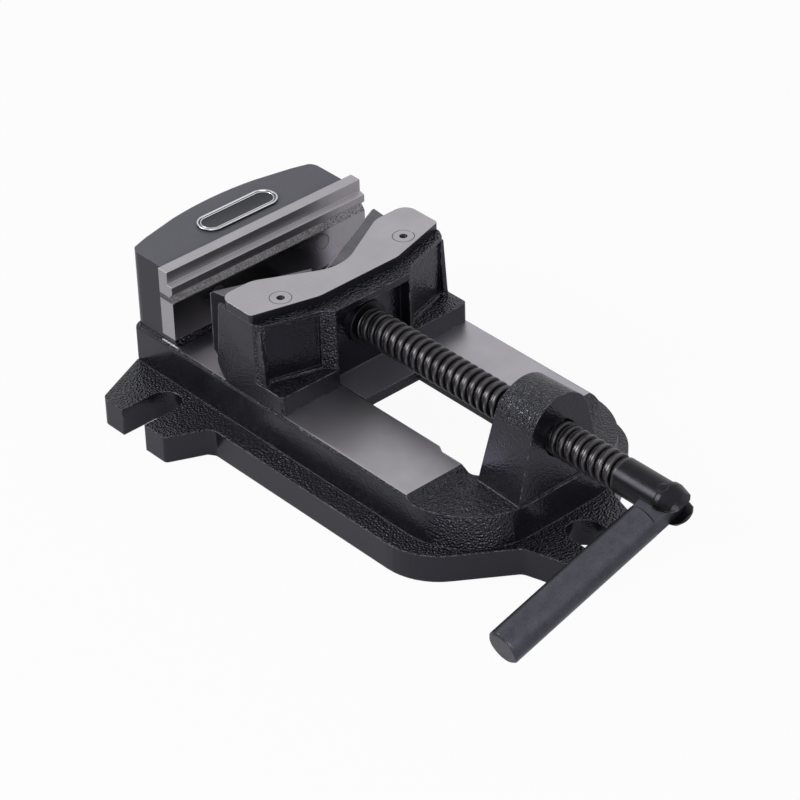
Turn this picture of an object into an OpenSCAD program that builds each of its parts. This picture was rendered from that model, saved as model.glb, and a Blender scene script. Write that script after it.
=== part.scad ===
// Drill press vise with a stepped fixed jaw plate and two swivelling V jaws.
// Millimetres. X is across the vise, +Y points to the fixed jaw, +Z is up.
// Origin: on the underside, under the gripping face of the fixed jaw, on the screw plane.

/* [Base] */
// Width of the bed over the rails
bed_w = 97.2; // [70:0.2:140]
// Gripping face to the spindle end of the bed
bed_l = 166; // [140:1:260]
// Height of the ground rails above the underside
rail_h = 29; // [26:0.5:44]
// Thickness of the mounting flange, the ears and the end tab
flange_t = 12; // [9:0.5:16]
// Flange beyond the bed on each side
flange_out = 9.4; // [6:0.2:16]
// Reach of the slotted ears beyond the bed
ear_out = 26.7; // [22:0.1:36]
// Width of the mounting slots
slot_w = 14; // [9:0.5:18]
// Gap between the rails
rail_gap = 35.6; // [28:0.2:44]
// Thickness of the rail deck over the open channel
deck_t = 12; // [9:0.5:14]

/* [Fixed jaw] */
// Width of the hardened jaw plate
plate_w = 100; // [72:0.5:144]
// Height of the jaw plate
plate_h = 30.4; // [24:0.2:40]
// Thickness of the jaw plate
plate_t = 7.8; // [6:0.1:11]
// Thickness of the fixed jaw at its sides
jaw_depth = 28; // [24:0.5:40]
// Rise of the curved back of the fixed jaw
back_rise = 8.3; // [4:0.1:14]
// Diameter of the jaw plate screws
plate_screw_d = 6.5; // [5:0.5:8]

/* [Spindle] */
// Height of the spindle axis above the rails
screw_up = 19.1; // [16:0.1:24]
// Outer diameter of the thread
screw_d = 14.4; // [10:0.2:18]
// Thread pitch, the travel for one turn
screw_pitch = 4; // [2:0.5:5]
// Diameter of the spindle head
head_d = 15.6; // [12:0.2:20]
// Radial running clearance
fit = 0.05; // [0.02:0.01:0.1]

/* [Handle] */
// Diameter of the handle bar
bar_d = 14; // [10:0.5:16]
// Length of the round part of the handle
bar_l = 73; // [50:1:110]
// Angle of the handle below the horizontal
bar_droop = 15.4; // [0:0.1:30]
// Thickness of the flattened tongue of the handle
bar_tongue_t = 6; // [4:0.5:8]

/* [Moving jaw] */
// Rest distance from the fixed jaw plate to the front of the moving casting
opening = 26; // [20:0.5:60]
// Height of the top of the moving casting above the rails
casting_h = 35; // [30:0.5:44]
// Thickness of the cover plate
cover_t = 3.6; // [2.5:0.1:6]
// Depth of the right swivel jaw in front of its pivot
right_reach = 22.6; // [17:0.1:25]
// Depth of the left swivel jaw in front of its pivot
left_reach = 21.6; // [17:0.1:25]
// Diameter of the pivot pin heads
pin_head_d = 9; // [8:0.1:12]
// Diameter of the pivot pin shanks
pin_d = 8; // [6:0.1:9]
// Rest angle of the right swivel jaw
right_turn = 25.7; // [12:0.1:30]
// Rest angle of the left swivel jaw
left_turn = 20.7; // [12:0.1:30]

/* [Hidden] */
$fn = 64;
k = bed_w / 97.2;
hw = bed_w / 2;
flange_hw = hw + flange_out;
ear_hw = hw + ear_out;
gap_hw = rail_gap / 2;
deck_z = rail_h - deck_t;
// end of the bed
end_y = -bed_l;
pad_z = rail_h - 2;
rail_end_y = end_y + 33.8;
pad_y = rail_end_y - 3.8;
end_r = min(33 * k, 33);
bracket_back = end_y + 24;
bracket_front = end_y + 1;
// fixed jaw
plate_z = rail_h + 6;
plate_top = plate_z + plate_h;
jaw_top = plate_top - 1.9;
jaw_hw = hw - 1.6;
back_mid = jaw_depth + back_rise;
back_r = (jaw_hw * jaw_hw + back_rise * back_rise) / (2 * back_rise);
plate_screw_x = 27.3 * k;
plate_screw_z = plate_z + 11.8;
plate_head_d = 10;
plate_head_l = 6;
plate_screw_seat = jaw_depth - 3;
// badge on the fixed jaw
badge_l = 38.6 * k;
badge_x = 0.9;
badge_w = 12.4;
badge_y = plate_t + 12.9;
// spindle and bracket
screw_z = rail_h + screw_up;
screw_r = screw_d / 2;
boss_z = screw_z + 3.7;
boss_front_r = screw_r + 7.9;
boss_back_r = screw_r + 7.1;
boss_taper = atan((boss_front_r - boss_back_r) / (bracket_back - bracket_front));
leg_lean = 13.5;
leg_sink = 0.03;
back_lean = 5;
nut_d = screw_d + 5.6;
nut_l = 14;
nut_back = bracket_back - 4;
nut_front = nut_back - nut_l;
lock_d = 4;
thread_end = end_y - 31.6;
head_start = thread_end - 21.8;
fold_y = head_start + 0.1;
head_end = fold_y - 9.4;
journal_d = 11;
relief = screw_pitch * 0.3;
// handle hinge
fold_r = 11;
fold_relief = bar_d / 2 - 0.4;
slot_t = bar_tongue_t + 0.4;
hinge_d = 4;
tongue_r = 6.4;
// moving jaw
front_y = -opening;
case_top = rail_h + casting_h;
sole_z = rail_h + fit;
pocket_z = rail_h + 2.6;
pivot_x = 31.6 * k;
pivot_y = front_y - 18.3;
boss_r = pin_d / 2 + 2.8;
side_back = front_y - 24.7;
rib_back = front_y - 35.8;
foot_back = front_y - 36.6;
foot_h = 8.5;
foot_z = rail_h + foot_h;
tongue_back = front_y - 49.3;
tongue_hw = gap_hw - 0.4;
rib_in = 18.6 * k;
neck_back = front_y - 36;
neck_z = deck_z - fit;
mid_floor = front_y - 30.5;
washer_t = 2;
washer_d = screw_d + 4;
shoulder_y = mid_floor - washer_t;
journal_end = front_y - 20;
groove_y = front_y - 26;
retainer_d = 3;
// keeper under the rails
keeper_hw = 34 * k;
keeper_t = 6;
keeper_front = front_y - 2;
keeper_back = front_y - 34;
keeper_screw_d = 6;
keeper_y = [front_y - 10, front_y - 26];
channel_hw = 38 * k;
channel_front = -12;
// pockets beside the web under the fixed jaw
core_x = 25 * k;
core_hw = 13 * k;
// swivel jaws, in the frame of their own pivot
tip_out = 21.5 * k;
tip_in = 20.3 * k;
nose_in = 25.5 * k;
jaw_low = pocket_z + 0.3;
jaw_high = case_top - 0.3;
jaw_mid = (jaw_low + jaw_high) / 2;

// Helpers
function unit(v) = v / norm(v);
function xy(p) = [p[0], p[1]];
function turn(a) = a > 180 ? a - 360 : a < -180 ? a + 360 : a;
function corner(a, b, c, r, n) =
    r == 0 ? [b] :
    let (u = unit(a - b), w = unit(c - b),
         half = acos(u * w) / 2,
         d = r / tan(half),
         m = b + unit(u + w) * r / sin(half),
         p = b + u * d - m,
         q = b + w * d - m,
         a0 = atan2(p[1], p[0]),
         da = turn(atan2(q[1], q[0]) - a0))
    [for (i = [0:n]) m + r * [cos(a0 + da * i / n), sin(a0 + da * i / n)]];
// corners [x, y, radius] to a polygon with rounded corners
function rounded(pts, n = 8) =
    let (m = len(pts))
    [for (i = [0:m - 1])
        each corner(xy(pts[(i + m - 1) % m]), xy(pts[i]), xy(pts[(i + 1) % m]), pts[i][2], n)];
// right half outline closed by its mirror image
function both(pts) = concat(pts, [for (i = [len(pts) - 1:-1:0]) [-pts[i][0], pts[i][1], pts[i][2]]]);
// touching point on a circle at the origin of the line from point p
function touch(p, r, side) =
    let (a = atan2(p[1], p[0]) + side * acos(r / norm(p)))
    r * [cos(a), sin(a)];

module box(x0, x1, y0, y1, z0, z1) {
    translate([x0, y0, z0])
        cube([x1 - x0, y1 - y0, z1 - z0]);
}

// cylinder along +Y from y0 to y1
module rod(x, z, d, y0, y1) {
    translate([x, y0, z])
        rotate([-90, 0, 0])
            cylinder(d = d, h = y1 - y0);
}

// cylinder along +Z
module post(x, y, d, z0, z1) {
    translate([x, y, z0])
        cylinder(d = d, h = z1 - z0);
}

// profile in (y, z) drawn along X
module along_x(x0, x1) {
    translate([x0, 0, 0])
        rotate([90, 0, 90])
            linear_extrude(height = x1 - x0)
                children();
}

// profile in (x, z) drawn along Y
module along_y(y0, y1) {
    translate([0, y1, 0])
        rotate([90, 0, 0])
            linear_extrude(height = y1 - y0)
                children();
}

// Base casting
module flange() {
    linear_extrude(height = flange_t)
        polygon(rounded(both([
            [flange_hw, -20, 0],
            [flange_hw, end_y + 19.8, 27],
            [24 * k, end_y - 3.6, 5],
            [17.8 * k, end_y - 24, 4]])));
}

module ears() {
    linear_extrude(height = flange_t)
        polygon(rounded(both([
            [hw - 9, 24, 0],
            [hw, 28.2, 0],
            [ear_hw, 16.5, 3.5],
            [ear_hw, -21.9, 2],
            [flange_hw + 2, -29, 2],
            [flange_hw, -32, 3],
            [flange_hw, -40, 0]])));
}

// curved back of the fixed jaw
module back_drum(r, h) {
    translate([0, back_mid - back_r, 0])
        cylinder(r = r, h = h, $fn = 180);
}

// right rounded corner of the bed end
module end_corner() {
    intersection() {
        post(hw - end_r, end_y + end_r, 2 * end_r, 0, rail_h + 1);
        box(hw - end_r, hw + 1, end_y - 1, end_y + end_r, -1, rail_h + 2);
    }
}

module bed_plan() {
    box(-hw, hw, end_y + end_r, back_mid, 0, rail_h + 1);
    box(end_r - hw, hw - end_r, end_y, end_y + end_r, 0, rail_h + 1);
    end_corner();
    mirror([1, 0, 0])
        end_corner();
}

// rails with a slope down to the lower end pad
module bed() {
    intersection() {
        bed_plan();
        along_y(end_y - 1, back_mid)
            polygon(rounded([[-hw, 0, 0], [hw, 0, 0], [hw, rail_h, 1.5], [-hw, rail_h, 1.5]], 4));
        along_x(-hw - 1, hw + 1)
            polygon([[back_mid + 1, -1], [back_mid + 1, rail_h + 1], [rail_end_y, rail_h + 1],
                     [rail_end_y, rail_h], [pad_y, pad_z], [end_y - 1, pad_z], [end_y - 1, -1]]);
        back_drum(back_r, rail_h + 1);
    }
}

module fixed_jaw_block() {
    intersection() {
        along_x(-jaw_hw, jaw_hw)
            polygon(concat(
                [[back_mid, flange_t], [back_mid, jaw_top], [plate_t, jaw_top],
                 [plate_t, plate_z], [plate_t - 3, plate_z], [plate_t - 3, rail_h + 3.4]],
                [for (a = [15:15:90]) [1.4 + 3.4 * cos(a), rail_h + 3.4 - 3.4 * sin(a)]],
                [[1.4, flange_t]]));
        back_drum(back_r, jaw_top);
        linear_extrude(height = jaw_top)
            polygon(rounded([
                [-jaw_hw, 0, 0], [jaw_hw, 0, 0],
                [jaw_hw, jaw_depth + 1, 5.5], [0, back_mid + 3, 0],
                [-jaw_hw, jaw_depth + 1, 5.5]]));
    }
}

// beyond the left or right plane of the bracket leg, which touches the boss
module leg_cut() {
    translate([0, bracket_front, boss_z])
        rotate([0, -leg_lean, 0])
            rotate([0, 0, boss_taper])
                translate([boss_front_r * cos(boss_taper) - leg_sink, -20, -60])
                    cube([40, 80, 90]);
}

module bracket() {
    difference() {
        union() {
            translate([0, bracket_front, boss_z])
                rotate([-90, 0, 0])
                    cylinder(r1 = boss_front_r, r2 = boss_back_r, h = bracket_back - bracket_front);
            difference() {
                box(-24 * k, 24 * k, bracket_front, bracket_back,
                    flange_t, boss_z + boss_back_r * sin(leg_lean));
                leg_cut();
                mirror([1, 0, 0])
                    leg_cut();
            }
        }
        // back face leaning toward the handle
        translate([0, bracket_back, pad_z])
            rotate([back_lean, 0, 0])
                translate([-40, 0, -1])
                    cube([80, 20, 60]);
    }
}

module mount_slots() {
    for (s = [-1, 1]) {
        post(s * (hw + 11), -2.7, slot_w, -1, flange_t + 1);
        box(min(s * (hw + 11), s * 120), max(s * (hw + 11), s * 120),
            -2.7 - slot_w / 2, -2.7 + slot_w / 2, -1, flange_t + 1);
    }
    post(0, end_y - 11.5, slot_w, -1, flange_t + 1);
    box(-slot_w / 2, slot_w / 2, end_y - 40, end_y - 11.5, -1, flange_t + 1);
}

module bed_openings() {
    // gap between the rails, wider behind the ground lands
    box(-gap_hw, gap_hw, bracket_back, channel_front, deck_z - 1, rail_h + 1);
    linear_extrude(height = rail_h + 1)
        polygon(rounded(both([
            [gap_hw, bracket_back + 24, 1.5], [gap_hw + 1.8, bracket_back + 20.5, 2],
            [gap_hw + 1.8, bracket_back + 0.5, 5]])));
    // channel open to the underside
    box(-channel_hw, channel_hw, bracket_back + 2, channel_front, -1, deck_z);
    box(-channel_hw + 12, channel_hw - 12, end_y + 8, bracket_back + 3, -1, deck_z - 3);
    // cored fixed jaw
    intersection() {
        box(-jaw_hw + 9, jaw_hw - 9, plate_t + 7, back_mid, -1, plate_z);
        back_drum(back_r - 8, plate_z + 1);
    }
    // lightening pockets beside the middle web
    for (s = [-1, 1])
        box(s * core_x - core_hw, s * core_x + core_hw, -4, plate_t, -1, deck_z);
}

module plate_screw_holes(d, head) {
    for (s = [-1, 1]) {
        rod(s * plate_screw_x, plate_screw_z, d, -1, back_mid);
        rod(s * plate_screw_x, plate_screw_z, head, plate_screw_seat, back_mid + 5);
    }
}

module base_casting() {
    color([0.10, 0.10, 0.11])
        difference() {
            union() {
                flange();
                ears();
                bed();
                fixed_jaw_block();
                bracket();
            }
            mount_slots();
            bed_openings();
            plate_screw_holes(plate_screw_d, plate_head_d + 1);
            // bracket bore: nut from behind against a lip
            rod(0, screw_z, nut_d, nut_front, bracket_back + 1);
            rod(0, screw_z, screw_d + 1, bracket_front - 1, nut_front + 1);
            post(0, (nut_front + nut_back) / 2, lock_d, 0, screw_z);
        }
}

module fixed_jaw_plate() {
    color([0.50, 0.51, 0.53])
        difference() {
            along_x(-plate_w / 2, plate_w / 2)
                polygon([[plate_t, plate_z], [plate_t, plate_top], [2.6, plate_top],
                         [2.6, plate_top - 5.3], [1.8, plate_top - 5.5], [0, plate_top - 6],
                         [0, plate_top - 9.2], [1.8, plate_top - 10.9], [0, plate_top - 13.4],
                         [0, plate_z]]);
            for (s = [-1, 1])
                rod(s * plate_screw_x, plate_screw_z, plate_screw_d, -1, plate_t + 1);
        }
}

module jaw_plate_screws() {
    color([0.35, 0.35, 0.37])
        for (s = [-1, 1]) {
            rod(s * plate_screw_x, plate_screw_z, plate_screw_d, 0, plate_screw_seat + 1);
            difference() {
                rod(s * plate_screw_x, plate_screw_z, plate_head_d,
                    plate_screw_seat, plate_screw_seat + plate_head_l);
                translate([s * plate_screw_x, plate_screw_seat + plate_head_l - 3, plate_screw_z])
                    rotate([-90, 0, 0])
                        cylinder(d = 5.8, h = 4, $fn = 6);
            }
        }
}

// badge outline with round ends
module badge(l, w, z0, z1) {
    for (s = [-1, 1])
        post(badge_x + s * (l - w) / 2, badge_y, w, z0, z1);
    box(badge_x - (l - w) / 2, badge_x + (l - w) / 2, badge_y - w / 2, badge_y + w / 2, z0, z1);
}

module nameplate() {
    color([0.30, 0.31, 0.33])
        difference() {
            badge(badge_l, badge_w, jaw_top, jaw_top + 1);
            difference() {
                badge(badge_l - 1.6, badge_w - 1.6, jaw_top + 0.5, jaw_top + 2);
                badge(badge_l - 2.6, badge_w - 2.6, jaw_top, jaw_top + 3);
            }
            badge(badge_l - 4, badge_w - 4, jaw_top + 0.5, jaw_top + 2);
        }
}

module spindle_nut() {
    color([0.32, 0.32, 0.34])
        difference() {
            rod(0, screw_z, nut_d, nut_front, nut_back);
            rod(0, screw_z, screw_d + 2 * fit, nut_front - 1, nut_back + 1);
            post(0, (nut_front + nut_back) / 2, lock_d, 0, screw_z - screw_r - 0.8);
        }
}

module nut_lock_pin() {
    color([0.45, 0.45, 0.47])
        post(0, (nut_front + nut_back) / 2, lock_d, deck_z, screw_z - screw_r - 0.8);
}

// Moving jaw
module case_outline() {
    polygon(rounded(both([
        [hw - 0.4, front_y + 4, 0],
        [hw - 0.4, front_y - 21, 2],
        [hw - 2.4, side_back, 1.5],
        [rib_in + 4.5 * k, front_y - 32, 0],
        [rib_in + 0.6, rib_back, 0.8]])));
}

// side view of the moving casting: leaning front, undercut toe
module case_side() {
    polygon([
        [foot_back - 1, sole_z], [front_y - 2.9, sole_z], [front_y - 0.6, rail_h + 2.6],
        [front_y + 1.6, rail_h + 6.2], [front_y + 2, rail_h + 8], [front_y + 0.9, rail_h + 17.7],
        [front_y - 0.5, case_top], [foot_back - 1, case_top]]);
}

module fan_pocket(z0, z1) {
    translate([0, 0, z0]) {
        linear_extrude(height = z1 - z0)
            polygon(rounded(both([
                [hw - 1.9, front_y + 12, 0],
                [hw - 1.9, front_y - 2, 0],
                [pivot_x + 6.9, pivot_y - 0.6, 0],
                [pivot_x - 3.4, pivot_y - 6.6, 0],
                [5 * k, front_y - 16.6, 0]])));
        for (s = [-1, 1])
            translate([s * pivot_x, pivot_y, 0])
                cylinder(r = boss_r + 0.4, h = z1 - z0);
    }
}

// shallow cast recess between the rib and the side edge
module side_panel() {
    translate([rib_in + 4.6 * k, front_y - 30.1, foot_z])
        rotate([0, 0, 15.4])
            translate([0, -10, 0.8])
                cube([22.7 * k, 10, casting_h - foot_h - 2.6]);
}

// edge rib at the rear corner, leaning back toward the foot
module side_edge() {
    along_x(hw - 3.8, hw - 1.2)
        polygon([
            [front_y - 20, foot_z - 1], [front_y - 20, case_top - 2.5],
            [side_back + 0.6, case_top - 2.5], [side_back - 1.6, foot_z - 1]]);
}

// foot beside the middle recess
module foot() {
    translate([0, 0, sole_z])
        linear_extrude(height = foot_z - sole_z)
            polygon(rounded([
                [rib_in, front_y - 18, 0], [hw - 0.4, front_y - 18, 0],
                [hw - 0.4, foot_back, 2], [rib_in, foot_back, 0.8]]));
}

module movable_jaw_casting() {
    color([0.10, 0.10, 0.11])
        difference() {
            union() {
                intersection() {
                    translate([0, 0, sole_z])
                        linear_extrude(height = case_top - sole_z)
                            case_outline();
                    along_x(-hw, hw)
                        case_side();
                }
                // feet and rear edge ribs left and right of the middle
                for (s = [0, 1])
                    mirror([s, 0, 0]) {
                        foot();
                        side_edge();
                    }
                // tongue and neck between the rails
                box(-tongue_hw, tongue_hw, tongue_back, front_y - 20, rail_h - 4.5, rail_h);
                box(-tongue_hw, tongue_hw, neck_back, front_y - 3, neck_z, rail_h + 1);
            }
            fan_pocket(pocket_z, case_top + 1);
            side_panel();
            mirror([1, 0, 0])
                side_panel();
            // middle recess round the spindle and its thrust washer
            box(-rib_in, rib_in, rib_back - 20, mid_floor, rail_h, case_top - 3);
            rod(0, screw_z, washer_d + 1, rib_back - 20, mid_floor);
            // spindle journal, retaining pins, pivot pins, keeper screws
            rod(0, screw_z, journal_d + 2 * fit, mid_floor - 10, journal_end);
            retainer_holes();
            for (s = [-1, 1])
                post(s * pivot_x, pivot_y, pin_d, sole_z - 1, case_top + 1);
            for (y = keeper_y)
                post(0, y, keeper_screw_d, neck_z - 1, neck_z + 10);
        }
}

module retainer_holes() {
    for (s = [-1, 1])
        post(s * (journal_d / 2), groove_y, retainer_d, screw_z - 7, case_top + 1);
}

module spindle_retaining_pins() {
    color([0.45, 0.45, 0.47])
        for (s = [-1, 1])
            post(s * (journal_d / 2), groove_y, retainer_d, screw_z - 7, case_top - 0.5);
}

module jaw_cover_plate() {
    color([0.60, 0.61, 0.63])
        difference() {
            translate([0, 0, case_top])
                linear_extrude(height = cover_t)
                    polygon(rounded([
                        [-hw + 0.4, front_y - 1.4, 5.5], [-32 * k, front_y - 1.4, 12],
                        [0, front_y - 18.6, 20], [32 * k, front_y - 1.4, 12],
                        [hw - 0.4, front_y - 1.4, 5.5], [hw - 0.4, front_y - 20, 1.5],
                        [20 * k, front_y - 27.8, 12], [-20 * k, front_y - 27.8, 12],
                        [-hw + 0.4, front_y - 20, 1.5]], 12));
            for (s = [-1, 1])
                post(s * pivot_x, pivot_y, pin_head_d, case_top - 1, case_top + cover_t + 1);
        }
}

module pivot_pin(s) {
    difference() {
        union() {
            post(s * pivot_x, pivot_y, pin_d, sole_z + 0.5, case_top + 1);
            post(s * pivot_x, pivot_y, pin_head_d, case_top, case_top + cover_t);
        }
        // centre drilling
        post(s * pivot_x, pivot_y, 1.6, case_top, case_top + cover_t + 1);
        translate([s * pivot_x, pivot_y, case_top + cover_t - 1.1])
            cylinder(d1 = 1.6, d2 = 3.2, h = 1.11);
    }
}

// right jaw in the frame of its pivot: nose toward the other jaw at the given heights
module swivel(reach, nose_low, nose_high) {
    out_touch = touch([tip_out, reach], boss_r, -1);
    in_touch = touch([-tip_in + 1.6 * k, reach - 4.6], boss_r, 1);
    difference() {
        union() {
            cylinder(r = boss_r, h = jaw_high - jaw_low);
            linear_extrude(height = jaw_high - jaw_low)
                polygon([out_touch, [tip_out, reach], [-tip_in, reach],
                         [-tip_in + 1.6 * k, reach - 4.6], in_touch]);
            translate([0, 0, nose_low])
                linear_extrude(height = nose_high - nose_low)
                    polygon([[-15.5 * k, reach], [-nose_in, reach],
                             [-nose_in + 0.6, reach - 1.6], [-15.5 * k, reach - 9.6]]);
        }
        translate([0, 0, -1])
            cylinder(d = pin_d + 2 * fit, h = 60);
        // chamfers along the gripping face
        along_x(-40 * k, 40 * k)
            polygon([[reach - 3.2, -1], [reach - 3.2, 0], [reach, 5],
                     [reach + 5, 5], [reach + 5, -1]]);
        translate([0, 0, jaw_high - jaw_low])
            along_x(-40 * k, 40 * k)
                polygon([[reach - 1.3, 1], [reach - 1.3, 0],
                         [reach, -1.3], [reach + 5, -1.3], [reach + 5, 1]]);
    }
}

module right_swivel_jaw() {
    color([0.24, 0.24, 0.26])
        translate([pivot_x, pivot_y, jaw_low])
            rotate([0, 0, right_turn])
                swivel(right_reach, jaw_mid - jaw_low + 0.2, jaw_high - jaw_low);
}

module left_swivel_jaw() {
    color([0.24, 0.24, 0.26])
        translate([-pivot_x, pivot_y, jaw_low])
            rotate([0, 0, -left_turn])
                mirror([1, 0, 0])
                    swivel(left_reach, 0, jaw_mid - jaw_low - 0.2);
}

module left_pivot_pin() {
    color([0.62, 0.63, 0.65])
        pivot_pin(-1);
}

module right_pivot_pin() {
    color([0.62, 0.63, 0.65])
        pivot_pin(1);
}

module keeper_plate() {
    color([0.30, 0.30, 0.32])
        difference() {
            box(-keeper_hw, keeper_hw, keeper_back, keeper_front, neck_z - keeper_t, neck_z);
            for (y = keeper_y)
                post(0, y, keeper_screw_d, neck_z - keeper_t - 1, neck_z + 1);
        }
}

module keeper_washers() {
    color([0.45, 0.45, 0.47])
        for (y = keeper_y)
            difference() {
                post(0, y, 12, neck_z - keeper_t - 1.6, neck_z - keeper_t);
                post(0, y, keeper_screw_d, neck_z - keeper_t - 2, neck_z);
            }
}

module keeper_screws() {
    color([0.35, 0.35, 0.37])
        for (y = keeper_y)
            difference() {
                union() {
                    post(0, y, keeper_screw_d, neck_z - keeper_t - 2, neck_z + 9);
                    post(0, y, 10, neck_z - keeper_t - 6.6, neck_z - keeper_t - 1.6);
                }
                translate([0, y, neck_z - keeper_t - 7])
                    cylinder(d = 5.8, h = 3.4, $fn = 6);
            }
}

// Spindle with an end journal in the moving jaw and a slotted head for the handle
module spindle() {
    r = screw_r;
    jr = journal_d / 2;
    hr = head_d / 2;
    color([0.16, 0.16, 0.17])
        difference() {
            translate([0, 0, screw_z])
                rotate([90, 0, 0])
                    rotate_extrude()
                        polygon([
                            [0, -journal_end + 0.4], [jr - 0.6, -journal_end + 0.4],
                            [jr, -journal_end + 1], [jr, -groove_y - 1.6],
                            [jr - 1.6, -groove_y - 1.6], [jr - 1.6, -groove_y + 1.6],
                            [jr, -groove_y + 1.6], [jr, -shoulder_y], [r - 1.2, -shoulder_y],
                            [r, -shoulder_y + 1.2], [r, -thread_end - relief],
                            [r - 0.5, -thread_end - 0.6 * relief],
                            [r - 0.5, -thread_end + 0.6 * relief], [r, -thread_end + relief],
                            [r, -head_start], [hr, -head_start + 0.4],
                            [hr, -head_start + 1.6], [hr - 1.7, -head_end - 1.6],
                            [hr - 3.6, -head_end], [0, -head_end]]);
            at_fold()
                translate([-12, -fold_r - 12, -slot_t / 2])
                    cube([24, fold_r + 12 + fold_relief, slot_t]);
            at_fold()
                cylinder(d = hinge_d, h = head_d + 4, center = true);
        }
}

// frame at the handle hinge: x along the handle, y away along the spindle, z along the hinge pin
module at_fold() {
    translate([0, fold_y, screw_z])
        rotate([0, -bar_droop, 0])
            mirror([1, 0, 0])
                children();
}

module thrust_washer() {
    color([0.32, 0.32, 0.34])
        difference() {
            rod(0, screw_z, washer_d, shoulder_y, mid_floor);
            rod(0, screw_z, journal_d + 2 * fit, shoulder_y - 1, mid_floor + 1);
        }
}

// Handle bar with a flat tongue in the slot of the head
module handle_bar() {
    color([0.20, 0.20, 0.21])
        at_fold()
            difference() {
                union() {
                    translate([fold_r + 0.4, 0, 0])
                        rotate([0, 90, 0])
                            rotate_extrude()
                                polygon([[0, 0], [bar_d / 2 - 0.8, 0], [bar_d / 2, 0.8],
                                         [bar_d / 2, bar_l - 0.8], [bar_d / 2 - 0.8, bar_l],
                                         [0, bar_l]]);
                    cylinder(r = tongue_r, h = bar_tongue_t, center = true);
                    translate([0, -tongue_r, -bar_tongue_t / 2])
                        cube([fold_r + 2, 2 * tongue_r, bar_tongue_t]);
                }
                cylinder(d = hinge_d + 2 * fit, h = 30, center = true);
            }
}

module handle_hinge_pin() {
    color([0.45, 0.45, 0.47])
        at_fold()
            cylinder(d = hinge_d, h = head_d - 1.6, center = true);
}

base_casting();
fixed_jaw_plate();
jaw_plate_screws();
nameplate();
spindle_nut();
nut_lock_pin();
movable_jaw_casting();
jaw_cover_plate();
left_swivel_jaw();
right_swivel_jaw();
left_pivot_pin();
right_pivot_pin();
keeper_plate();
keeper_washers();
keeper_screws();
spindle();
thrust_washer();
spindle_retaining_pins();
handle_bar();
handle_hinge_pin();
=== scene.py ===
"""Looks of a drill press vise: black enamelled castings, ground steel faces and a true screw thread."""
import math

import bpy
from mathutils import Matrix, Vector


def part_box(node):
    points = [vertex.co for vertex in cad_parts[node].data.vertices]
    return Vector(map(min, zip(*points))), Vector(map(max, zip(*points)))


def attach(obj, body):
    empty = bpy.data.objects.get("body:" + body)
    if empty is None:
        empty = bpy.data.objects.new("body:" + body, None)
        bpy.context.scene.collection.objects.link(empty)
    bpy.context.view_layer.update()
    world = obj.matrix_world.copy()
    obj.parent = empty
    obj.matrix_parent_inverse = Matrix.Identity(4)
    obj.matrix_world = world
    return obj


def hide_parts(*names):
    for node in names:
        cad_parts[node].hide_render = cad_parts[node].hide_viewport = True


bl_info = {
    "name": "Drill press vise looks",
    "version": (1, 0, 0),
    "blender": (4, 5, 0),
    "location": "View3D > Sidebar > Vise",
    "description": "Finishes, screw thread, badge and studio for a drill press vise",
    "category": "Object",
}

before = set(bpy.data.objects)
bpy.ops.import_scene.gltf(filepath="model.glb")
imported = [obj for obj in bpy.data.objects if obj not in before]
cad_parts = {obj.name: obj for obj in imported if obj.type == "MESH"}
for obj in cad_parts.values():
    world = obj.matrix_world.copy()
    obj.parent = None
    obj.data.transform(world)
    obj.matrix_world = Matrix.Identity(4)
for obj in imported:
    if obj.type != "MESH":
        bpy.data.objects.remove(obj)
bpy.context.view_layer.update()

MM = 0.001
WELD = 2e-6

# The spindle and the hinge of its handle, in metres
SPINDLE_Z = 0.0481
HINGE_Y = -0.2193
DROOP = math.radians(15.4)

# Places of faces and marks, in millimetres
FLANGE_TOP = 11.5
RAIL_TOP = (28.8, 29.2)
RAIL_ENDS = (-132.4, 12)
POCKET_FLOOR = (31, 32)
FIXED_JAW_TOP = (63, 64)
FIXED_JAW_DEPTH = (3.0, 99)
SWIVEL_TOP = (61.5, 63.9)
HATCHED_STRIP = (52.0, 54.4)
BADGE_RIMS = (64.22, 66)

# Marks on round ends: distances from the middle plane and along an axis, then the radii of a centre hole
# that is painted dark as painted shade, which is below 0 where there is none, and of the dark ring at the
# seat
PIN_ENDS = {"axis": "Y", "middle": (31.6, -44.3), "hole": 1.65, "ring": (4.22, 4.6)}
SCREW_ENDS = {"axis": "Z", "middle": (27.3, 46.8), "hole": -0.5, "ring": (3.0, 3.3)}

# Lamps: place and size in metres, power in watts
LAMPS = (
    ("key", (-0.62, 0.42, 0.55), (0.4, 0.4), 5.0),
    ("front", (-0.72, -0.8, 0.35), (0.9, 0.5), 8.0),
    ("fill", (0.75, -0.75, 0.5), (0.9, 0.7), 1.4),
)
LAMPS_AIM = (0, -0.09, 0.03)
WHITE = (1, 1, 1)

# The camera from which the vise lies as it does in the photo
CAMERA_AT = (-0.7195, -0.9025, 0.7831)
CAMERA_RIGHT = (0.74247, -0.66940, -0.02532)
CAMERA_UP = (0.39805, 0.41047, 0.82041)
CAMERA_BACK = (-0.53879, -0.61921, 0.57122)
CAMERA_LENS = 154.49


def linear(code):
    """A hex colour as screens show it, turned to the linear values that shaders use."""
    parts = [int(code[i:i + 2], 16) / 255 for i in (0, 2, 4)]
    return tuple(c / 12.92 if c <= 0.04045 else ((c + 0.055) / 1.055) ** 2.4 for c in parts)


def length(name, about, size):
    """A size in metres that the sidebar shows in the scene's own unit."""
    return bpy.props.FloatProperty(name=name, description=about, default=size, min=0,
                                   precision=4, subtype="DISTANCE", unit="LENGTH")


def tint(name, about, code):
    """A colour for the sidebar."""
    return bpy.props.FloatVectorProperty(name=name, description=about, size=3, min=0, max=1,
                                         default=linear(code), subtype="COLOR")


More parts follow.
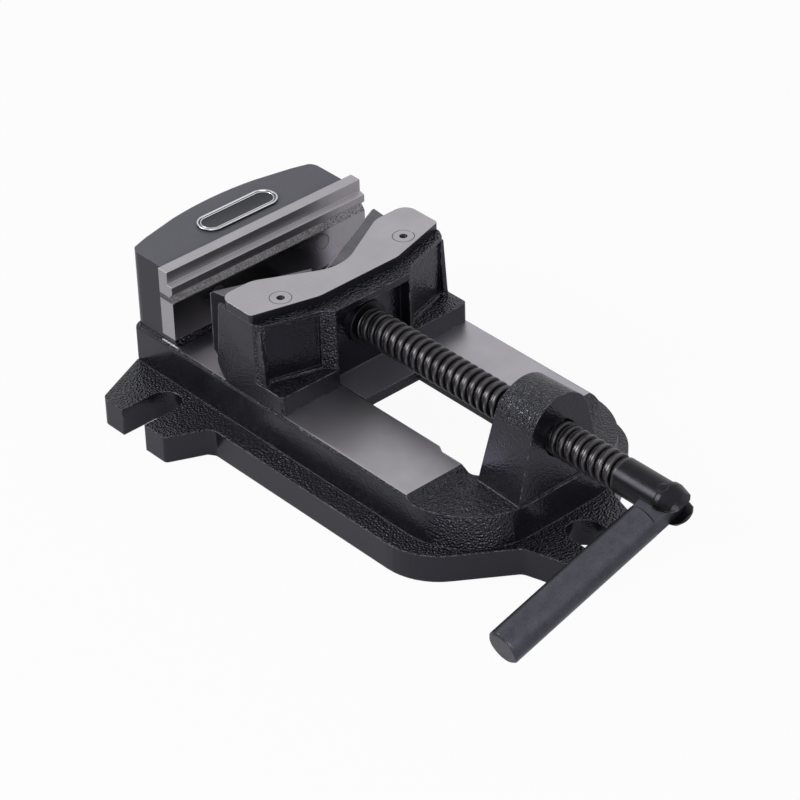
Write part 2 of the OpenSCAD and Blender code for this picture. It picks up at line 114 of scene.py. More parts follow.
class ViseSizes(bpy.types.PropertyGroup):
    """Sizes of the pieces that are modelled here."""
    crest_r: length("Thread crest", "Outer radius of the screw thread", 0.0072)
    root_r: length("Thread root", "Radius at the bottom of the thread", 0.0057)
    pitch: length("Thread pitch", "Travel for one turn", 0.004)
    thread_start: length("Thread start", "Distance of the first turn behind the fixed jaw", 0.0586)
    thread_end: length("Thread end", "Distance of the last turn behind the fixed jaw", 0.1976)
    badge_long: length("Badge length", "Length of the oval badge", 0.0386)
    badge_wide: length("Badge width", "Width of the oval badge", 0.0124)
    grain: length("Casting grain", "Size of one bump of the sand-cast surface", 0.0009)
    soft_edge: length("Casting edge", "Radius to which paint softens the cast edges", 0.0009)


class ViseColours(bpy.types.PropertyGroup):
    """Colours of the finishes."""
    enamel: tint("Enamel", "Black stoving enamel on the castings", "0B0B10")
    # Edges of the enamel: partly thin enamel, partly a painted highlight along the cast edges
    thin_enamel_and_edge_highlight: tint("Thin enamel", "Edges where the enamel is thin", "55565F")
    # Lighter paint for the fixed jaw top and the tongue: partly satin paint, partly painted light on a top
    # and on a shaded face
    satin_and_painted_light: tint("Satin paint", "Thin paint on faces that were machined first", "47474E")
    ground: tint("Ground steel", "Surface-ground steel of the cover, rails and jaw plate", "A8A5AA")
    blackened: tint("Blackened steel", "Sides of the swivel jaws", "1E1E22")
    oxide: tint("Black oxide", "Spindle thread and head", "222226")
    bar: tint("Bar steel", "Drawn steel of the handle", "4A4A52")
    rim: tint("Badge rim", "Polished rims of the badge", "C9CACE")
    # Thread crests: partly rubbed by the nut, partly a painted highlight
    rubbed: tint("Rubbed crests", "Thread crests that the nut keeps bright", "4E4B4D")
    jaw_edge: tint("Swivel jaw edges", "Edges of the swivel jaws, rubbed grey", "6A6A6E")
    jaw_chamfer: tint("Swivel jaw chamfers", "Ground chamfers round the tops of the swivel jaws", "A8A7AA")
    jaw_top: tint("Swivel jaw tops", "Ground tops of the swivel jaws", "5C5C62")
    worn: tint("Worn edges", "Edges of blackened screws and plates", "5A5A5E")
    mill_scale: tint("Mill scale", "Hot-rolled skin of the keeper plate", "2E2E31")
    # The washer's colour is dark as painted shade in the recess round the spindle
    washer: tint("Washer", "Oiled steel of the thrust washer", "36363A")
    bright: tint("Bright steel", "Pins and washers", "8E8F92")
    gloss: tint("Gloss of enamel", "Cool tint of the reflections in enamel", "EDEEFF")
    floor: tint("Floor", "Studio floor", "C4C4C8")


def to_micrometre(size):
    """A size in millimetres, without the last digits that the sidebar's numbers lose."""
    return round(size, 3)


def sizes():
    """The sizes that are set in the scene."""
    return bpy.context.scene.vise_sizes


def colours():
    """The colours that are set in the scene."""
    return bpy.context.scene.vise_colours


# Materials
def add(tree, kind, inputs, out=0, **settings):
    """Adds one shader node with its settings. Its inputs are numbers, colours or sockets to link, in
    order or by name. It gives the output socket out, or all of them where out is None."""
    node = tree.nodes.new("ShaderNode" + kind)
    for name, value in settings.items():
        setattr(node, name, value)
    for name, value in inputs.items() if isinstance(inputs, dict) else enumerate(inputs):
        socket = node.inputs[name]
        if isinstance(value, bpy.types.NodeSocket):
            tree.links.new(value, socket)
        elif socket.type == "RGBA":
            socket.default_value = (*value[:3], 1)
        else:
            socket.default_value = value
    return node.outputs if out is None else node.outputs[out]


def finish(name, make):
    """A material by name, made once: make gets its tree, millimetre coordinates and surface normal."""
    if name in bpy.data.materials:
        return bpy.data.materials[name]
    made = bpy.data.materials.new(name)
    made.use_nodes = True
    tree = made.node_tree
    tree.nodes.clear()
    place = add(tree, "TexCoord", (), out=None)
    mm = add(tree, "VectorMath", {0: place["Object"], "Scale": 1 / MM}, operation="SCALE")
    add(tree, "OutputMaterial", {"Surface": make(tree, mm, place["Normal"])}, out=None)
    return made


def product(tree, *shares):
    """All shares multiplied, so it is 1 where all of them are 1."""
    total = shares[0]
    for share in shares[1:]:
        total = add(tree, "Math", (total, share), operation="MULTIPLY")
    return total


def within(tree, value, low, high, soft=0.05):
    """1 where value is between two numbers, else 0."""
    return product(tree, add(tree, "MapRange", (value, low - soft, low + soft)),
                   add(tree, "MapRange", (value, high + soft, high - soft)))


def layered(tree, base, *coats, colour=True):
    """A colour, or a number where colour is False, under coats of (where, colour or number)."""
    # The Mix node takes its numbers at sockets 2 and 3 and its colours at 6 and 7
    kind, under, over, out = ("RGBA", 6, 7, 2) if colour else ("FLOAT", 2, 3, 0)
    for where, coat in coats:
        base = add(tree, "Mix", {0: where, under: base, over: coat}, out, data_type=kind)
    return base


def mottled(tree, mm, size, detail=2.0, rough=0.5, stretch=(1, 1, 1), span=None, to=(0, 1)):
    """Blotches size millimetres across, longer along an axis where stretch is above 1. Where span is
    given, that range of the blotches is spread over the range to."""
    at = add(tree, "Mapping", {"Vector": mm, "Scale": tuple(1 / (size * s) for s in stretch)})
    blotches = add(tree, "TexNoise", {"Vector": at, "Scale": 1, "Detail": detail, "Roughness": rough}, "Fac")
    return add(tree, "MapRange", (blotches, *span, *to)) if span else blotches


def pebbled(tree, mm, size):
    """Rounded bumps about size millimetres apart, 1 on their tops."""
    at = add(tree, "VectorMath", {0: mm, "Scale": 1 / size}, operation="SCALE")
    away = add(tree, "TexVoronoi", {"Vector": at, "Scale": 1, "Smoothness": 0.5}, "Distance",
               feature="SMOOTH_F1")
    return add(tree, "MapRange", (away, 0.15, 0.75, 1, 0))


def wear_and_highlight_edges(tree, reach, first, full):
    """1 on outer edges, reach millimetres wide, for the two shares of open space where the lightening starts
    and is full.
    On blackened steel it marks wear; on enamel it is partly thin paint and partly a painted highlight."""
    space = add(tree, "AmbientOcclusion", {"Distance": reach * MM}, "AO", inside=True, only_local=True,
                samples=8)
    return add(tree, "MapRange", (space, first, full, 0, 1))


def ground_faces(tree, mm, normal, rules):
    """1 on faces that were ground bare. Each rule is (normal axis, least part, {axis: (low, high)}),
    with a least part below 0 for faces that look the other way."""
    at = add(tree, "SeparateXYZ", (mm,), out=None)
    way = add(tree, "SeparateXYZ", (normal,), out=None)
    total = None
    for axis, least, limits in rules:
        side = "GREATER_THAN" if least > 0 else "LESS_THAN"
        facing = add(tree, "Math", (way[axis], least), operation=side)
        mask = product(tree, facing, *[within(tree, at[a], *ends) for a, ends in limits.items()])
        total = add(tree, "Math", (total, mask), operation="MAXIMUM") if total else mask
    return total


def surface(tree, colour, metallic, rough, height, depth, strength=0.5, edge=0.4, samples=4, gloss=None):
    """The shader of a finish: relief of depth millimetres, over edges rounded by edge millimetres."""
    relief = {"Strength": strength, "Distance": depth * MM, "Height": height}
    if edge:
        relief["Normal"] = add(tree, "Bevel", {"Radius": edge * MM}, samples=samples)
    look = {"Base Color": colour, "Metallic": metallic, "Roughness": rough}
    if gloss:
        look["Specular Tint"] = gloss
    return add(tree, "BsdfPrincipled", {**look, "Normal": add(tree, "Bump", relief)})


def enamelled_iron(name, bare, satin_and_painted_light):
    """Black stoving enamel on sand-cast iron, pebbled and wet-looking. Its edges are lighter, partly thin
    enamel and partly a painted highlight; faces machined first take a lighter satin paint that is partly
    painted light; it is gone where a face was ground last."""
    def make(tree, mm, normal):
        c = colours()
        steel = ground_faces(tree, mm, normal, bare)
        # Satin faces are partly painted light: the fixed jaw top is lighter as if lit from above, and the
        # tongue is lightened to make up for its shade
        satin_and_painted_light_faces = ground_faces(tree, mm, normal, satin_and_painted_light)
        patch = mottled(tree, mm, 22, 1, span=(0.38, 0.6))
        # Outer edges are lightened, partly for thin enamel and partly as a painted highlight
        edge = product(tree, wear_and_highlight_edges(tree, 0.5, 0.93, 0.6), mottled(tree, mm, 3, 3, span=(0.45, 0.65)))
        cloud = mottled(tree, mm, 14, span=(0.3, 0.7), to=(0.93, 1.05))
        metal = add(tree, "VectorMath", {0: c.ground, "Scale": cloud}, operation="SCALE")
        colour = layered(tree, c.enamel, (satin_and_painted_light_faces, c.satin_and_painted_light), (edge, c.thin_enamel_and_edge_highlight), (steel, metal))
        wet = add(tree, "MapRange", (patch, 0, 1, 0.16, 0.25))
        rough = layered(tree, wet, (satin_and_painted_light_faces, 0.42), (steel, 0.36), colour=False)
        # The pebbles fade on flat upright faces, and more on the flange and the fixed jaw
        at = add(tree, "SeparateXYZ", (mm,), out=None)
        way = add(tree, "SeparateXYZ", (normal,), out=None)
        across, along = [add(tree, "Math", (way[a],), operation="ABSOLUTE") for a in "XY"]
        flat = add(tree, "Math", (across, along), operation="MAXIMUM")
        flange = within(tree, at["Z"], -1, FLANGE_TOP)
        fixed_jaw = within(tree, at["Y"], *FIXED_JAW_DEPTH)
        quiet = add(tree, "Math", (flange, fixed_jaw), operation="MAXIMUM")
        quiet = product(tree, quiet, within(tree, way["Z"], -0.3, 0.3))
        pebbles = product(tree, add(tree, "MapRange", (patch, 0, 1, 0.6, 1.0)),
                          add(tree, "MapRange", (flat, 0.9, 0.97, 1, 0.12)),
                          add(tree, "MapRange", (quiet, 0, 1, 1, 0.15)),
                          pebbled(tree, mm, sizes().grain / MM))
        # Dust and grinding lines are drawn coarser than the real ones, so that they show
        dust = mottled(tree, mm, 0.35, 1, span=(0, 1), to=(0, 0.25))
        lines = mottled(tree, mm, 0.35, 2, 0.6, (1, 40, 1), span=(0, 1), to=(0, 0.01))
        height = layered(tree, pebbles, (satin_and_painted_light_faces, dust), (steel, lines), colour=False)
        return surface(tree, colour, steel, rough, height, 0.55, 1.0, sizes().soft_edge / MM, 6, c.gloss)
    return finish(name, make)


def ground_steel(name, rough, drilled=None, serrated=None, painted_sides=False):
    """Surface-ground tool steel: an even light grey with a straight lay and faint clouds. The lay is
    drawn coarser than a real one, so that it shows."""
    def make(tree, mm, normal):
        c = colours()
        at = add(tree, "SeparateXYZ", (mm,), out=None)
        lay = mottled(tree, mm, 0.3, 2, 0.6, (40, 1, 1))
        value = product(tree, mottled(tree, mm, 15, span=(0.3, 0.7), to=(0.95, 1.04)),
                        add(tree, "MapRange", (lay, 0.3, 0.7, 0.97, 1.03)))
        height = add(tree, "MapRange", (lay, 0, 1, 0, 0.1))
        metallic, gloss = 1.0, rough
        if serrated:
            strip = within(tree, at["Z"], *serrated)
            teeth = mottled(tree, mm, 0.55, 2, 0.7, (1, 1, 2))
            shade = add(tree, "MapRange", (teeth, 0.35, 0.65, 0.12, 0.5))
            value = product(tree, value, layered(tree, 1.0, (strip, shade), colour=False))
            height = add(tree, "Math", (height, product(tree, strip, teeth)), operation="ADD")
            gloss = add(tree, "MapRange", (at["Z"], serrated[0] - 0.5, serrated[0], rough, rough + 0.2))
        # Centre holes are painted dark as painted shade; the ring at the seat is a dark joint
        if drilled:
            across = add(tree, "Math", (at["X"],), operation="ABSOLUTE")
            across = add(tree, "Math", (across, drilled["middle"][0]), operation="SUBTRACT")
            along = add(tree, "Math", (at[drilled["axis"]], drilled["middle"][1]), operation="SUBTRACT")
            away = add(tree, "CombineXYZ", (across, along))
            away = add(tree, "VectorMath", (away,), "Value", operation="LENGTH")
            dark = add(tree, "Math", (within(tree, away, *drilled["ring"], 0.03),
                                      within(tree, away, -1, drilled["hole"])), operation="MAXIMUM")
            value = product(tree, value, add(tree, "MapRange", (dark, 0, 1, 1, 0.06)))
        metal = add(tree, "VectorMath", {0: c.ground, "Scale": value}, operation="SCALE")
        if painted_sides:
            metallic = ground_faces(tree, mm, normal, [("Z", 0.95, {})])
            metal = layered(tree, c.enamel, (metallic, metal))
            gloss = layered(tree, 0.28, (metallic, rough), colour=False)
        return surface(tree, metal, metallic, gloss, height, 0.1, 0.6, 0.3)
    return finish(name, make)


def blackened_steel(name, colour, worn, rough, ground_top=None, rubbed=None):
    """Steel blackened in hot salts: a dark semi-gloss that is rubbed grey on its edges. A ground top and the
    stretch of thread whose crests are lightened, partly rubbed and partly a painted highlight, are given as
    (low, high)."""
    def make(tree, mm, normal):
        c = colours()
        smear = mottled(tree, mm, 5, 3)
        lay = mottled(tree, mm, 0.35, 2, 0.6)
        edge = product(tree, wear_and_highlight_edges(tree, 0.6, 0.9, 0.55),
                       add(tree, "MapRange", (smear, 0.35, 0.6, 0.3, 1)))
        # Crests are lightened: partly rubbed by the nut, partly a painted highlight of the thread
        if rubbed:
            crest_r = sizes().crest_r / MM
            away = add(tree, "VectorMath", (mm, (0, 0, SPINDLE_Z / MM)), operation="SUBTRACT")
            away = add(tree, "VectorMath", (away, (1, 0, 1)), operation="MULTIPLY")
            away = add(tree, "VectorMath", (away,), "Value", operation="LENGTH")
            along = add(tree, "SeparateXYZ", (mm,), "Y")
            crest = product(tree, add(tree, "MapRange", (away, crest_r - 0.3, crest_r - 0.05, 0, 1)),
                            within(tree, along, *rubbed), add(tree, "MapRange", (smear, 0.3, 0.6, 0.5, 1)))
            edge = add(tree, "Math", (edge, crest), operation="MAXIMUM")
        tone = layered(tree, colour, (edge, worn))
        if ground_top:
            chamfer, top = [ground_faces(tree, mm, normal, [("Z", least, {"Z": ground_top})])
                            for least in (0.5, 0.95)]
            tone = layered(tree, tone, (chamfer, c.jaw_chamfer), (top, c.jaw_top))
        value = add(tree, "MapRange", (smear, 0.3, 0.7, 0.85, 1.15))
        tone = add(tree, "VectorMath", {0: tone, "Scale": value}, operation="SCALE")
        return surface(tree, tone, 0.85, rough, lay, 0.06)
    return finish(name, make)


def black_oxide_steel():
    """The spindle's black oxide, with thread crests lightened: partly rubbed by the nut, partly a painted
    highlight.
    """
    c, s = colours(), sizes()
    rubbed = (-s.thread_end / MM - 1, -s.thread_start / MM - 1.4)
    return blackened_steel("black_oxide_steel", c.oxide, c.rubbed, 0.27, rubbed=rubbed)


def plain_metal(name, colour, rough):
    """Turned or drawn metal as it comes from the machine, with fine tool marks and a little staining."""
    def make(tree, mm, normal):
        marks = mottled(tree, mm, 0.4, 1)
        value = product(tree, mottled(tree, mm, 4, 3, span=(0.3, 0.7), to=(0.88, 1.12)),
                        add(tree, "MapRange", (marks, 0.3, 0.7, 0.85, 1.2)))
        tone = add(tree, "VectorMath", {0: colour, "Scale": value}, operation="SCALE")
        return surface(tree, tone, 1.0, rough, marks, 0.1)
    return finish(name, make)


def badge_metal(name):
    """Die-cast badge: polished rims standing out of a black enamelled, finely grained field."""
    def make(tree, mm, normal):
        c = colours()
        high = within(tree, add(tree, "SeparateXYZ", (mm,), "Z"), *BADGE_RIMS, 0.06)
        tone = layered(tree, c.enamel, (high, c.rim))
        rough = add(tree, "MapRange", (high, 0, 1, 0.45, 0.22))
        height = product(tree, mottled(tree, mm, 0.35), add(tree, "MapRange", (high, 0, 1, 1, 0.1)))
        return surface(tree, tone, high, rough, height, 0.08, 0.6, edge=None, gloss=c.gloss)
    return finish(name, make)


def dress(node, material):
    """Gives a CAD node its finish."""
    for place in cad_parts[node].material_slots:
        place.material = material


# Modelling by hand
def alone(piece=None):
    """Leaves edit mode and selects one piece, or nothing."""
    if bpy.context.object and bpy.context.object.mode != "OBJECT":
        bpy.ops.object.mode_set(mode="OBJECT")
    bpy.ops.object.select_all(action="DESELECT")
    if piece:
        piece.select_set(True)
        bpy.context.view_layer.objects.active = piece


def drawn_line(name, points):
    """A line of edges in edit mode: one vertex, extruded from point to point."""
    alone()
    bpy.ops.mesh.primitive_plane_add(size=MM, location=points[0])
    piece = bpy.context.object
    piece.name = piece.data.name = name
    bpy.ops.object.transform_apply()
    bpy.ops.object.mode_set(mode="EDIT")
    bpy.ops.mesh.select_mode(type="VERT")
    bpy.ops.mesh.select_all(action="SELECT")
    bpy.ops.mesh.merge(type="CENTER")
    for a, b in zip(points, points[1:]):
        bpy.ops.mesh.extrude_vertices_move(
            TRANSFORM_OT_translate={"value": Vector(b) - Vector(a)})
    bpy.ops.mesh.select_all(action="SELECT")
    return piece


def tidy_shell():
    """Merges doubles and turns all faces outward, in edit mode."""
    bpy.ops.mesh.select_all(action="SELECT")
    bpy.ops.mesh.remove_doubles(threshold=WELD)
    bpy.ops.mesh.normals_make_consistent(inside=False)


def turned(name, profile, steps=72):
    """A turned part: profile is (radius, y) pairs in millimetres from axis to axis."""
    piece = drawn_line(name, [(r * MM, y * MM, SPINDLE_Z) for r, y in profile])
    bpy.ops.mesh.spin(steps=steps, angle=math.tau, center=(0, 0, SPINDLE_Z), axis=(0, 1, 0))
    tidy_shell()
    alone(piece)
    return piece


def carve(piece, tool, way="DIFFERENCE"):
    """Cuts, joins or keeps the common part of two closed pieces, and uses the tool up."""
    alone(piece)
    mod = piece.modifiers.new("carve", "BOOLEAN")
    mod.object, mod.operation, mod.solver = tool, way, "EXACT"
    bpy.ops.object.modifier_apply(modifier=mod.name)
    bpy.data.objects.remove(tool)
    if not piece.data.polygons:
        raise RuntimeError(f"{piece.name} was cut away")
    return piece


def block(name, centre, size, lean=0.0):
    """A cutting block in place, leaning about Y; sizes in millimetres."""
    alone()
    bpy.ops.mesh.primitive_cube_add(size=1, location=[v * MM for v in centre], rotation=(0, lean, 0),
                                    scale=[v * MM for v in size])
    bpy.context.object.name = name
    bpy.ops.object.transform_apply()
    return bpy.context.object


def break_edges(piece, width, degrees):
    """Rounds the edges that are sharper than an angle by width millimetres."""
    alone(piece)
    mod = piece.modifiers.new("break edges", "BEVEL")
    mod.width, mod.segments = width * MM, 2
    mod.limit_method, mod.angle_limit = "ANGLE", math.radians(degrees)
    bpy.ops.object.modifier_apply(modifier=mod.name)


def smooth(piece, degrees=35):
    """Shades a piece smooth, but for edges sharper than an angle."""
    alone(piece)
    bpy.ops.object.shade_smooth_by_angle(angle=math.radians(degrees))


def own(piece, body, slot, material, *replaced):
    """Finishes a new piece: its material, body and the node it stands for. The slot is not used."""
    piece.data.materials.clear()
    piece.data.materials.append(material)
    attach(piece, body)
    if replaced:
        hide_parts(*replaced)


# Operators
class VISE_OT_spindle(bpy.types.Operator):
    """Model the spindle: a true trapezoidal thread between its end journal and slotted head"""
    bl_idname = "vise.spindle"
    bl_label = "Spindle"

    def thread(self):
        """The thread alone: a profile that is screwed along, closed and cut to length."""
        s = sizes()
        crest, root, pitch = s.crest_r / MM, s.root_r / MM, s.pitch / MM
        start, end = -s.thread_start / MM, -s.thread_end / MM
        turns = math.ceil((start - end) / pitch - 1e-6) + 3
        # Radius, and share of the pitch at which the profile has it
        ridge = [(crest - 0.45, 0.3), (crest - 0.12, 0.38), (crest, 0.48), (crest, 0.64),
                 (crest - 0.12, 0.74), (crest - 0.45, 0.82)]
        profile = [(root, 0), (root, 0.2), *ridge, (root, 0.92), (root, 1)]
        low = end - 1.5 * pitch
        piece = drawn_line("thread", [(r * MM, (low + share * pitch) * MM, 0) for r, share in profile])
        bpy.ops.object.mode_set(mode="OBJECT")
        mod = piece.modifiers.new("turns", "SCREW")
        mod.axis, mod.angle, mod.screw_offset, mod.iterations = "Y", math.tau, s.pitch, turns
        mod.steps = mod.render_steps = 48
        bpy.ops.object.modifier_apply(modifier=mod.name)
        bpy.ops.object.mode_set(mode="EDIT")
        bpy.ops.mesh.select_all(action="SELECT")
        bpy.ops.mesh.remove_doubles(threshold=WELD)
        bpy.ops.mesh.select_mode(type="EDGE")
        bpy.ops.mesh.select_all(action="DESELECT")
        bpy.ops.mesh.select_non_manifold(extend=False, use_wire=False, use_multi_face=False,
                                         use_non_contiguous=False, use_verts=False)
        bpy.ops.mesh.edge_face_add()
        tidy_shell()
        bpy.ops.transform.translate(value=(0, 0, SPINDLE_Z))
        alone(piece)
        outer, taper, overlap = crest + 0.02, 1.4, 1
        first, last = to_micrometre(start), to_micrometre(end - overlap)
        limit = turned("limit", [(0, first), (root, first), (outer, first - taper), (outer, last),
                                 (0, last)])
        return carve(piece, limit, "INTERSECT")

    def core(self):
        """The turned bar under the thread, from the grooved journal to the slotted head."""
        s = sizes()
        crest, under = s.crest_r / MM, s.root_r / MM - 0.2
        journal, groove, head = 5.5, 3.9, 7.8
        groove_start, groove_end = -50.4, -53.6
        low, high = (v[1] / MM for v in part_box("spindle"))
        start, end = to_micrometre(-s.thread_start / MM) + 0.1, -s.thread_end / MM
        piece = turned("spindle_screw", [
            (0, high), (journal - 0.6, high), (journal, high - 0.6), (journal, groove_start),
            (groove, groove_start), (groove, groove_end), (journal, groove_end), (journal, start),
            (under, start), (under, end), (crest - 0.3, end), (crest, end - 0.3), (crest, end - 21.2),
            (head, end - 22.0), (head, end - 23.8), (head - 1.5, low + 1.7), (4.6, low), (0, low)])
        slot_wide, slot_long, slot_past_hinge = 6.4, 29.6, 6.6
        slot_middle = HINGE_Y / MM + slot_past_hinge - slot_long / 2
        carve(piece, block("slot", (0, slot_middle, SPINDLE_Z / MM), (24, slot_long, slot_wide), -DROOP))
        break_edges(piece, 0.4, 50)
        alone()
        pin_r, pin_long = 2, 30
        bpy.ops.mesh.primitive_cylinder_add(vertices=48, radius=pin_r * MM, depth=pin_long * MM,
                                            location=(0, HINGE_Y, SPINDLE_Z), rotation=(0, -DROOP, 0))
        bpy.ops.object.transform_apply()
        return carve(piece, bpy.context.object)

    def execute(self, context):
        core = self.core()
        thread = self.thread()
        alone(core)
        thread.select_set(True)
        bpy.ops.object.join()
        smooth(core, 12)
        own(core, "spindle", "black_oxide", black_oxide_steel(), "spindle")
        return {"FINISHED"}


class VISE_OT_badge(bpy.types.Operator):
    """Model the oval badge: two raised rims round a bare grained field"""
    bl_idname = "vise.badge"
    bl_label = "Badge"

    def execute(self, context):
        s = sizes()
        low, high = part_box("nameplate")
        middle = (low + high) / 2
        stretch = (s.badge_long - s.badge_wide) / 2
        alone()
        bpy.ops.mesh.primitive_circle_add(vertices=64, radius=s.badge_wide / 2, fill_type="NGON",
                                          location=(middle.x, middle.y, low.z))
        piece = bpy.context.object
        piece.name = piece.data.name = "oval_badge"
        bpy.ops.object.transform_apply()
        for side in (-1, 1):
            bpy.ops.object.mode_set(mode="EDIT")
            bpy.ops.mesh.select_mode(type="VERT")
            bpy.ops.mesh.select_all(action="DESELECT")
            bpy.ops.object.mode_set(mode="OBJECT")
            for v in piece.data.vertices:
                v.select = v.co.x * side > 1e-5
            bpy.ops.object.mode_set(mode="EDIT")
            bpy.ops.transform.translate(value=(side * stretch, 0, 0))
        bpy.ops.mesh.select_all(action="SELECT")
        bpy.ops.mesh.select_mode(type="FACE")
        bpy.ops.mesh.normals_make_consistent(inside=False)
        wall = 0.85
        bpy.ops.mesh.extrude_region_move(TRANSFORM_OT_translate={"value": (0, 0, wall * MM)})
        # Steps from the outside in: how far inward, and how far up
        steps = [(0.15, 0.15), (0.6, 0), (0.1, -0.4), (0.5, 0), (0.1, 0.25), (0.35, 0), (0.15, -0.35)]
        for inward, up in steps:
            bpy.ops.mesh.inset(thickness=inward * MM, depth=0)
            if up:
                bpy.ops.transform.translate(value=(0, 0, up * MM))
        tidy_shell()
        break_edges(piece, 0.07, 25)
        smooth(piece)
        own(piece, "base", "badge_metal", badge_metal("die_cast_badge"), "nameplate")
        return {"FINISHED"}


class VISE_OT_castings(bpy.types.Operator):
    """Finish the two castings in black enamel with ground bare faces"""
    bl_idname = "vise.castings"
    bl_label = "Castings"

    def execute(self, context):
        rails = ("Z", 0.95, {"Z": RAIL_TOP, "Y": RAIL_ENDS})
        bottom = ("Z", -0.95, {"Z": (-0.1, 0.1)})
        # The fixed jaw top takes the lighter satin colour, which is partly a painted lit top
        jaw_top = ("Z", 0.95, {"Z": FIXED_JAW_TOP})
        dress("base_casting", enamelled_iron("enamelled_cast_iron_bed", [rails, bottom], [jaw_top]))
        pocket = ("Z", 0.95, {"Z": POCKET_FLOOR})
        # The tongue takes the lighter satin colour, which is partly painted light against the shade it lies
        # in
        tongue = ("Z", 0.95, {"Z": RAIL_TOP})
        dress("movable_jaw_casting", enamelled_iron("enamelled_cast_iron_jaw", [pocket], [tongue]))
        return {"FINISHED"}


class VISE_OT_ground_parts(bpy.types.Operator):
    """Finish the cover plate, the stepped jaw plate and the pivot pins as ground steel"""
    bl_idname = "vise.ground_parts"
    bl_label = "Ground parts"

    def execute(self, context):
        dress("jaw_cover_plate", ground_steel("surface_ground_cover", 0.38, painted_sides=True))
        dress("fixed_jaw_plate", ground_steel("ground_jaw_steel", 0.2, serrated=HATCHED_STRIP))
        pins = ground_steel("ground_pin_steel", 0.38, drilled=PIN_ENDS)
        dress("left_pivot_pin", pins)
        dress("right_pivot_pin", pins)
        return {"FINISHED"}


class VISE_OT_swivel_jaws(bpy.types.Operator):
    """Finish the two swivelling V jaws as blackened steel with ground tops"""
    bl_idname = "vise.swivel_jaws"
    bl_label = "Swivel jaws"

    def execute(self, context):
        c = colours()
        steel = blackened_steel("blackened_jaw_steel", c.blackened, c.jaw_edge, 0.42, SWIVEL_TOP)
        dress("left_swivel_jaw", steel)
        dress("right_swivel_jaw", steel)
        return {"FINISHED"}


class VISE_OT_handle(bpy.types.Operator):
    """Finish the folding handle bar as drawn steel"""
    bl_idname = "vise.handle"
    bl_label = "Handle"

    def execute(self, context):
        dress("handle_bar", plain_metal("drawn_bar_steel", colours().bar, 0.36))
        dress("handle_hinge_pin", black_oxide_steel())
        return {"FINISHED"}


class VISE_OT_fasteners(bpy.types.Operator):
    """Finish the nut, washers, screws and pins that hold the vise together"""
    bl_idname = "vise.fasteners"
    bl_label = "Nut, screws and pins"

    def execute(self, context):
        c = colours()
        # Pins and washers are left as drawn and cut, which gives a clean grey shine
        bright = plain_metal("bright_steel", c.bright, 0.35)
        for node in ("nut_lock_pin", "keeper_washers", "spindle_retaining_pins"):
            dress(node, bright)
        # The nut and the screws are blackened against rust, which gives a dark semi-gloss
        dark = blackened_steel("blackened_screw_steel", c.oxide, c.worn, 0.38)
        for node in ("spindle_nut", "keeper_screws"):
            dress(node, dark)
        # The thrust washer is dark and smooth: its dark colour is painted shade in the recess round the
        # spindle
        dress("thrust_washer", plain_metal("washer_steel_painted_shade", c.washer, 0.4))
        # Mill scale leaves the hot-rolled keeper plate dull and nearly black
        dress("keeper_plate", blackened_steel("hot_rolled_keeper", c.mill_scale, c.worn, 0.5))
        # The jaw plate's screws were ground with it, so their ends show as faint rings
        dress("jaw_plate_screws", ground_steel("ground_screw_ends", 0.28, drilled=SCREW_ENDS))
        return {"FINISHED"}


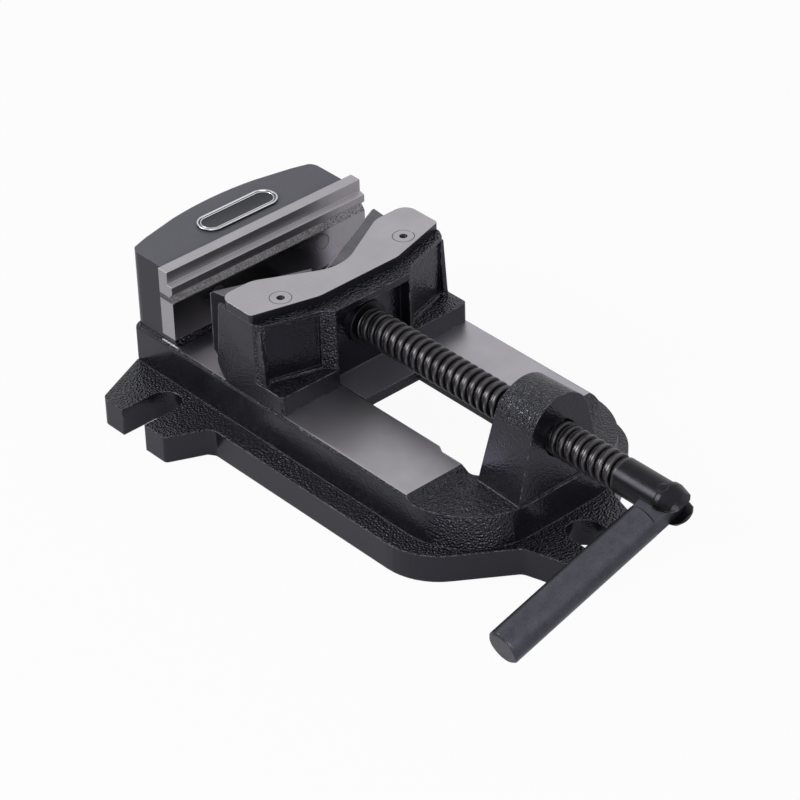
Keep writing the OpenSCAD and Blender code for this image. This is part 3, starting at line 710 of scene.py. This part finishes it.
class VISE_OT_stage(bpy.types.Operator):
    """Set the pale floor, the soft studio lamps and the camera"""
    bl_idname = "vise.stage"
    bl_label = "Studio"

    def seen(self, tree, mirrored=1.0):
        """1 for rays that come from the camera, mirrored for those that leave metal or glass."""
        ray = add(tree, "LightPath", (), out=None)
        total = add(tree, "Math", (ray["Is Glossy Ray"], ray["Is Transmission Ray"]), operation="MAXIMUM")
        total = add(tree, "MapRange", (total, 0, 1, 0, mirrored))
        return add(tree, "Math", (total, ray["Is Camera Ray"]), operation="MAXIMUM")

    def sky(self, scene):
        """A white backdrop that gives plain light, and that metal sees darker at its left."""
        world = scene.world or bpy.data.worlds.new("studio")
        scene.world = world
        world.use_nodes = True
        tree = world.node_tree
        tree.nodes.clear()
        to_camera = add(tree, "LightPath", (), "Is Camera Ray")
        way = add(tree, "TexCoord", (), "Generated")
        right_and_up = (0.35, 0, 1)
        high = add(tree, "VectorMath", (way, right_and_up), "Value", operation="DOT_PRODUCT")
        mirrored = add(tree, "MapRange", (high, 0.05, 0.35, 0.34, 1.0))
        shown = layered(tree, mirrored, (to_camera, 1.0), colour=False)
        plain_light = 0.42
        strength = layered(tree, plain_light, (self.seen(tree), shown), colour=False)
        light = add(tree, "Background", {"Color": WHITE, "Strength": strength})
        add(tree, "OutputWorld", {"Surface": light}, out=None)

    def floor(self):
        """A wide sheet of white paper, bright to the camera and dimmer in metal, that takes shadows."""
        alone()
        bpy.ops.mesh.primitive_plane_add(size=6, location=(0, 0, -0.0002))
        floor = bpy.context.object
        floor.name = "studio_floor"
        bpy.ops.object.transform_apply()
        paper = bpy.data.materials.new("white_paper_floor")
        paper.use_nodes = True
        tree = paper.node_tree
        tree.nodes.clear()
        matt = add(tree, "BsdfDiffuse", {"Color": colours().floor})
        lit = add(tree, "Emission", {"Color": WHITE, "Strength": 1.0})
        share = add(tree, "MapRange", (self.seen(tree, 0.4), 0, 1, 0, 0.95))
        add(tree, "OutputMaterial", {"Surface": add(tree, "MixShader", (share, matt, lit))}, out=None)
        floor.data.materials.append(paper)

    def lamp(self, name, place, size, power):
        """A soft rectangular lamp that looks at the vise."""
        data = bpy.data.lights.new(name, "AREA")
        data.shape, data.size, data.size_y, data.energy = "RECTANGLE", size[0], size[1], power
        lamp = bpy.data.objects.new(name, data)
        lamp.location = place
        lamp.rotation_euler = (Vector(LAMPS_AIM) - Vector(place)).to_track_quat("-Z", "Y").to_euler()
        bpy.context.scene.collection.objects.link(lamp)

    def camera(self):
        """The camera at the angle of the photo."""
        data = bpy.data.cameras.new("camera")
        data.sensor_width, data.lens = 36, CAMERA_LENS
        data.clip_start, data.clip_end = 0.05, 20
        cam = bpy.data.objects.new("camera", data)
        turn = Matrix((CAMERA_RIGHT, CAMERA_UP, CAMERA_BACK)).transposed()
        cam.matrix_world = Matrix.Translation(CAMERA_AT) @ turn.to_4x4()
        bpy.context.scene.collection.objects.link(cam)
        bpy.context.scene.camera = cam

    def execute(self, context):
        context.scene.view_settings.view_transform = "Standard"
        self.sky(context.scene)
        self.floor()
        for lamp in LAMPS:
            self.lamp(*lamp)
        self.camera()
        return {"FINISHED"}


class VISE_PT_panel(bpy.types.Panel):
    """Lists the pieces, sizes and colours of the vise"""
    bl_idname = "VISE_PT_panel"
    bl_label = "Drill press vise"
    bl_space_type = "VIEW_3D"
    bl_region_type = "UI"
    bl_category = "Vise"

    def draw(self, context):
        for operator in OPERATORS:
            self.layout.operator(operator.bl_idname)
        for group in (context.scene.vise_sizes, context.scene.vise_colours):
            box = self.layout.box()
            for name in group.__annotations__:
                box.prop(group, name)


OPERATORS = (VISE_OT_castings, VISE_OT_ground_parts, VISE_OT_swivel_jaws, VISE_OT_handle,
             VISE_OT_fasteners, VISE_OT_spindle, VISE_OT_badge, VISE_OT_stage)
CLASSES = (ViseSizes, ViseColours, *OPERATORS, VISE_PT_panel)


def register():
    for c in CLASSES:
        bpy.utils.register_class(c)
    bpy.types.Scene.vise_sizes = bpy.props.PointerProperty(type=ViseSizes)
    bpy.types.Scene.vise_colours = bpy.props.PointerProperty(type=ViseColours)


def unregister():
    del bpy.types.Scene.vise_sizes
    del bpy.types.Scene.vise_colours
    for c in reversed(CLASSES):
        bpy.utils.unregister_class(c)


def main():
    register()
    bpy.ops.vise.castings()
    bpy.ops.vise.ground_parts()
    bpy.ops.vise.swivel_jaws()
    bpy.ops.vise.handle()
    bpy.ops.vise.fasteners()
    bpy.ops.vise.spindle()
    bpy.ops.vise.badge()
    bpy.ops.vise.stage()


if __name__ == "__main__":
    main()
